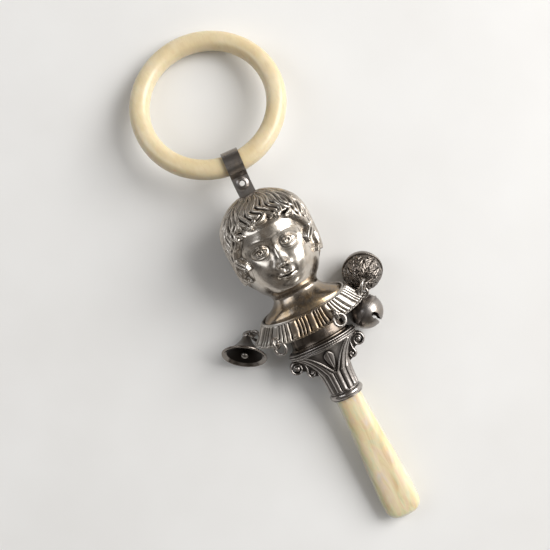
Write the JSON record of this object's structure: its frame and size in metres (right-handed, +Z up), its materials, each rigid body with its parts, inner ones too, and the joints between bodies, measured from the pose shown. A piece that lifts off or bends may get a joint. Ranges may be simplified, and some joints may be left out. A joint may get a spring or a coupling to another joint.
{
  "type": "baby rattle",
  "caption": "Silver rattle with a child's head over a pleated ruff and fluted socket, hanging bells, a teething ring and a pearl handle.",
  "frame": {"origin": "centre of the footprint's bounding box, on the table plane Z = 0 that the rattle lies on with its back down", "axes": "+X along the rattle towards the tip of the handle, +Y towards the figure's left, +Z up out of the figure's face; the long axis slopes down 5.4 degrees towards the handle"},
  "size_m": [0.1564, 0.054, 0.0249],
  "materials": {
    "silver": "aged silver, polished high points over dark oxidised recesses",
    "tarnished_silver": "aged silver with golden-brown tarnish",
    "dark_silver": "dark oxidised silver, satin",
    "bone": "polished bone, cream with faint ochre grain",
    "pearl": "polished mother-of-pearl with a faint pink and yellow sheen",
    "cement": "dull brown pitch",
    "steel_pea": "dull"
  },
  "bodies": {
    "rattle_body": {"pearl_handle": "pearl", "ferrule": "silver", "pitch_cement": "cement", "pedestal_front_shell": "silver", "pedestal_back_shell": "silver", "scroll_bracket_left": "silver", "scroll_bracket_right": "silver", "reeded_moulding": "silver", "waist_cup": "dark_silver", "crown_lug": "silver", "bust_front_shell": "tarnished_silver", "bust_back_shell": "tarnished_silver", "pleated_ruff": "tarnished_silver", "base_plate": "dark_silver", "hollow_rivet": "silver", "ruff_eye_left": "silver", "ruff_eye_right": "silver", "ruff_eye_back": "silver", "ruff_eye_front_left": "silver", "ruff_eye_front_right": "silver"},
    "strap": {"hanger_strap": "silver"},
    "ring": {"teething_ring": "bone"},
    "cone_bell": {"cone_bell": "dark_silver", "cone_bell_loop": "silver"},
    "clapper": {"cone_clapper": "silver"},
    "engraved_ball": {"engraved_ball_upper": "dark_silver", "engraved_ball_lower": "dark_silver", "engraved_ball_loop": "silver"},
    "engraved_pea": {"engraved_ball_pea": "steel_pea"},
    "plain_ball": {"plain_ball_upper": "silver", "plain_ball_lower": "silver", "plain_ball_loop": "silver"},
    "plain_pea": {"plain_ball_pea": "steel_pea"},
    "link_left": {"jump_ring_left": "silver"},
    "link_right": {"jump_ring_right": "silver"},
    "link_back": {"jump_ring_back": "silver"},
    "link_front_left": {"jump_ring_front_left": "silver"},
    "link_front_right": {"jump_ring_front_right": "silver"}
  },
  "joints": [
    {"name": "strap_on_rivet", "type": "hinge", "parent": "rattle_body", "child": "strap", "pos_m": [-0.03024, 0.00106, 0.01307], "axis": [0.0941, 0, 0.9956], "range_deg": [-40, 40]},
    {"name": "ring_in_strap", "type": "hinge", "parent": "strap", "child": "ring", "pos_m": [-0.0363, 0.00138, 0.01365], "axis": [0.0521, 0.9986, -0.0049], "range_deg": [-60, 110]},
    {"name": "link_left_on_eye", "type": "hinge", "parent": "rattle_body", "child": "link_left", "pos_m": [0.01189, 0.01862, 0.01268], "axis": [0.5469, 0.7688, 0.3316], "range_deg": [0, 40]},
    {"name": "link_right_on_eye", "type": "hinge", "parent": "rattle_body", "child": "link_right", "pos_m": [0.01004, -0.01648, 0.00402], "axis": [0.8635, -0.3511, -0.3622], "range_deg": [-7, 40]},
    {"name": "link_back_on_eye", "type": "hinge", "parent": "rattle_body", "child": "link_back", "pos_m": [0.01228, 0.01324, 0.00271], "axis": [-0.7054, -0.3111, 0.6369], "range_deg": [-4, 0]},
    {"name": "link_front_left_on_eye", "type": "hinge", "parent": "rattle_body", "child": "link_front_left", "pos_m": [0.01627, 0.0079, 0.01855], "axis": [-0.0321, -0.2309, -0.9724], "range_deg": [-45, 45]},
    {"name": "link_front_right_on_eye", "type": "hinge", "parent": "rattle_body", "child": "link_front_right", "pos_m": [0.01624, -0.01078, 0.01705], "axis": [-0.0843, 0.4439, -0.8921], "range_deg": [-45, 45]},
    {"name": "engraved_ball_on_link", "type": "hinge", "parent": "link_left", "child": "engraved_ball", "pos_m": [0.01068, 0.01981, 0.01193], "axis": [-0.7427, 0.2627, 0.616], "range_deg": [-40, 0]},
    {"name": "cone_bell_on_link", "type": "hinge", "parent": "link_right", "child": "cone_bell", "pos_m": [0.00986, -0.01778, 0.00487], "axis": [-0.4906, -0.7514, -0.4412], "range_deg": [-10, 40]},
    {"name": "plain_ball_on_link", "type": "hinge", "parent": "link_back", "child": "plain_ball", "pos_m": [0.01369, 0.01372, 0.00451], "axis": [-0.479, 0.8715, -0.1048], "range_deg": [0, 35]},
    {"name": "clapper_in_bell", "type": "hinge", "parent": "cone_bell", "child": "clapper", "pos_m": [0.01107, -0.01848, 0.00559], "axis": [-0.5661, -0.8226, 0.0535], "range_deg": [-12, 28]},
    {"name": "engraved_pea_roll", "type": "slide", "parent": "engraved_ball", "child": "engraved_pea", "axis": [0, 0, 1], "range_m": [0, 0.0076]},
    {"name": "plain_pea_roll", "type": "slide", "parent": "plain_ball", "child": "plain_pea", "axis": [0, 0, 1], "range_m": [0, 0.0063]}
  ]
}
